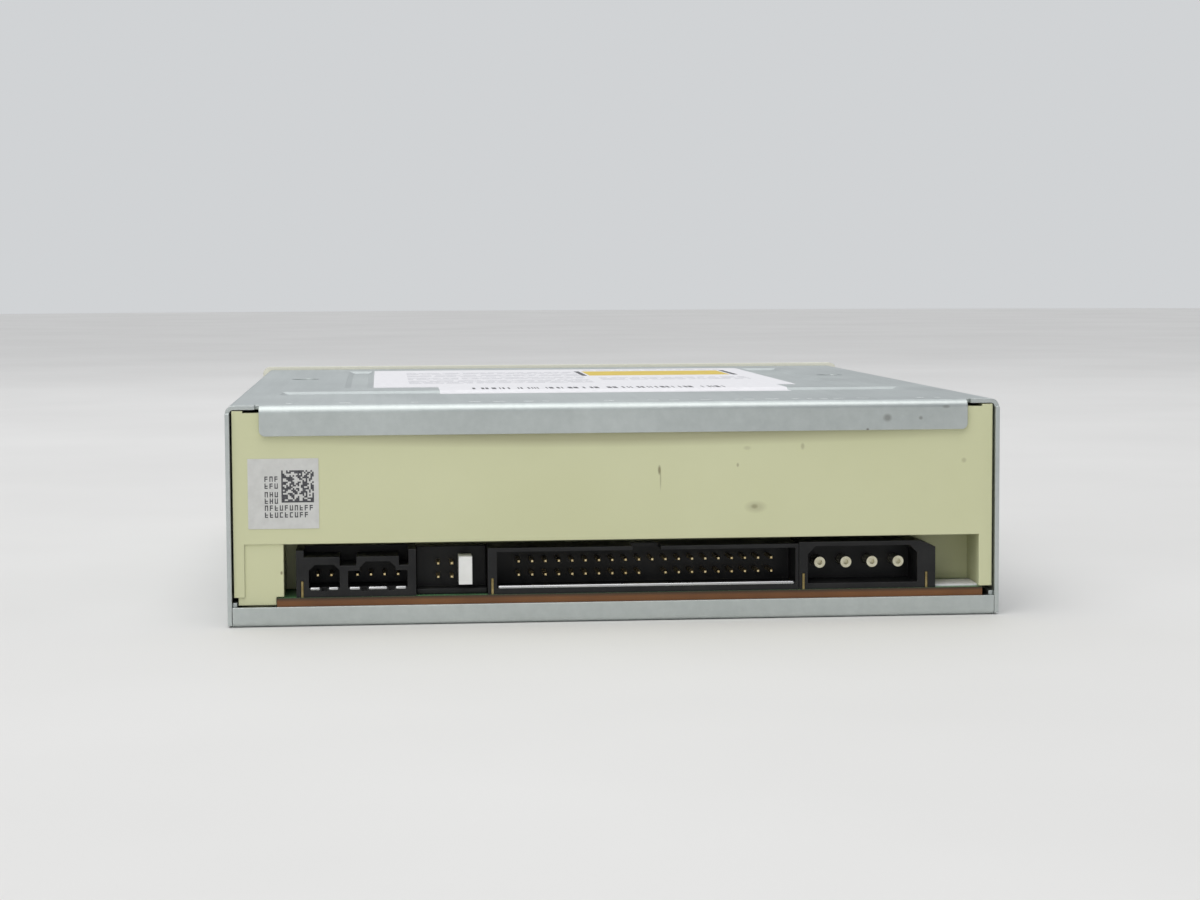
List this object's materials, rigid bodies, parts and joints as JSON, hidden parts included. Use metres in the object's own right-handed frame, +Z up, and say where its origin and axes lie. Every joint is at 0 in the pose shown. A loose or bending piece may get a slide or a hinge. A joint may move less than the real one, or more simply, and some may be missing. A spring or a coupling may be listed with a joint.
{
  "type": "dvd-rom drive",
  "caption": "Half-height optical disc drive with a motor-driven tray, a lifting disc mechanism under steel covers, a plain bezel and rear data, power and audio sockets.",
  "frame": {"origin": "middle of the rectangle that the drive stands on", "axes": "+X to the right seen from the front, +Y from the bezel back to the connectors, +Z up"},
  "size_m": [0.1482, 0.1776, 0.042],
  "materials": {
    "steel": "galvanised sheet steel, satin",
    "bright_steel": "bright turned or pressed steel",
    "frame_plastic": "cream moulded plastic, slightly yellowed",
    "bezel_plastic": "ivory moulded plastic, fine texture",
    "black_plastic": "black moulded plastic",
    "tray_plastic": "dark grey moulded plastic",
    "gear_plastic": "natural white acetal",
    "rubber": "black rubber",
    "contact_gold": "thin gold plate",
    "board": "brown laminate with a green top coat",
    "front_board": "green laminate",
    "capacitor": "blue sleeve",
    "paper": "printed paper label",
    "cap_white": "white jumper cap",
    "casting": "die cast metal, matt",
    "lens_glass": "coated lens",
    "light_lens": "clear green-tinted light"
  },
  "bodies": {
    "frame": {"main_frame": "frame_plastic", "top_cover": "steel", "bottom_cover": "steel", "front_bezel": "bezel_plastic", "top_label": "paper", "rear_label": "paper", "cover_screws": "bright_steel", "main_board": "board", "board_chips": "black_plastic", "board_capacitors": "capacitor", "board_screws": "bright_steel", "audio_connector": "black_plastic", "audio_pins": "contact_gold", "jumper_header": "black_plastic", "jumper_cap": "cap_white", "data_connector": "black_plastic", "data_pins": "contact_gold", "power_connector": "black_plastic", "power_pins": "bright_steel", "board_locks": "bright_steel", "clamp_bridge": "steel", "bridge_screws": "bright_steel", "loading_motor": "bright_steel", "drive_belt": "rubber", "front_board": "front_board", "headphone_jack": "black_plastic", "volume_control": "black_plastic", "status_light": "light_lens", "eject_switch": "black_plastic"},
    "tray": {"disc_tray": "tray_plastic", "tray_door": "bezel_plastic"},
    "tray_gear": {"tray_gear": "gear_plastic"},
    "pulley_gear": {"pulley_gear": "gear_plastic"},
    "motor_pulley": {"motor_pulley": "gear_plastic"},
    "cam_slider": {"cam_slider": "gear_plastic"},
    "lift": {"lift_frame": "tray_plastic", "dampers": "rubber", "damper_screws": "bright_steel", "traverse_plate": "steel", "spindle_base": "bright_steel", "main_rod": "bright_steel", "sub_rod": "bright_steel", "rod_holders": "black_plastic", "sled_motor": "bright_steel"},
    "turntable": {"turntable": "black_plastic", "turntable_ring": "rubber"},
    "pickup": {"pickup_body": "casting", "actuator_cover": "bright_steel", "follower": "gear_plastic"},
    "lens": {"lens_holder": "black_plastic", "lens": "lens_glass"},
    "lead_screw": {"lead_screw": "bright_steel"},
    "clamper": {"clamper": "gear_plastic", "clamper_cap": "gear_plastic", "clamper_plate": "bright_steel"},
    "eject_button": {"eject_button": "bezel_plastic"},
    "volume_wheel": {"volume_wheel": "black_plastic"}
  },
  "joints": [
    {"name": "tray_slide", "type": "slide", "parent": "frame", "child": "tray", "axis": [0, -1, 0], "range_m": [0, 0.136]},
    {"name": "tray_gear_spin", "type": "hinge", "parent": "frame", "child": "tray_gear", "pos_m": [-0.0495, -0.0675, 0.02], "axis": [0, 0, 1], "range_deg": [0, 975]},
    {"name": "pulley_gear_spin", "type": "hinge", "parent": "frame", "child": "pulley_gear", "pos_m": [-0.0309, -0.06273, 0.019], "axis": [0, 0, 1], "range_deg": [-2366, 0]},
    {"name": "motor_pulley_spin", "type": "hinge", "parent": "frame", "child": "motor_pulley", "pos_m": [0.002, -0.0642, 0.019], "axis": [0, 0, 1], "range_deg": [-5727, 0]},
    {"name": "lift_hinge", "type": "hinge", "parent": "frame", "child": "lift", "pos_m": [0, 0.066, 0.013], "axis": [1, 0, 0], "range_deg": [-4.8, 0]},
    {"name": "cam_slide", "type": "slide", "parent": "frame", "child": "cam_slider", "axis": [1, 0, 0], "range_m": [0, 0.016]},
    {"name": "turntable_spin", "type": "hinge", "parent": "lift", "child": "turntable", "pos_m": [0, -0.01384, 0.01733], "axis": [0, -0.0837, 0.9965], "continuous": true},
    {"name": "pickup_slide", "type": "slide", "parent": "lift", "child": "pickup", "axis": [0, 0.9965, 0.0837], "range_m": [0, 0.037]},
    {"name": "lead_screw_spin", "type": "hinge", "parent": "lift", "child": "lead_screw", "pos_m": [0.031, 0.00966, 0.01469], "axis": [0, 0.9965, 0.0837], "range_deg": [0, 4440]},
    {"name": "lens_focus", "type": "slide", "parent": "pickup", "child": "lens", "axis": [0, -0.0837, 0.9965], "range_m": [-0.0004, 0.0004], "stiffness_N_per_m": 40},
    {"name": "clamper_spin", "type": "hinge", "parent": "frame", "child": "clamper", "pos_m": [0, -0.0132, 0.032], "axis": [0, 0, 1], "continuous": true},
    {"name": "eject_press", "type": "slide", "parent": "frame", "child": "eject_button", "axis": [0, 1, 0], "range_m": [0, 0.0005], "stiffness_N_per_m": 800, "springref_m": -0.0004},
    {"name": "volume_turn", "type": "hinge", "parent": "frame", "child": "volume_wheel", "pos_m": [-0.043, -0.078, 0.0092], "axis": [0, 0, 1], "range_deg": [-135, 135]}
  ],
  "couplings": [
    {"joint": "tray_gear_spin", "follows": "tray_slide", "rad_per_m": 125},
    {"joint": "pulley_gear_spin", "follows": "tray_slide", "rad_per_m": -303.57},
    {"joint": "motor_pulley_spin", "follows": "tray_slide", "rad_per_m": -734.88},
    {"joint": "cam_slide", "follows": "lift_hinge", "m_per_rad": -0.19098},
    {"joint": "lead_screw_spin", "follows": "pickup_slide", "rad_per_m": 2094.4}
  ]
}
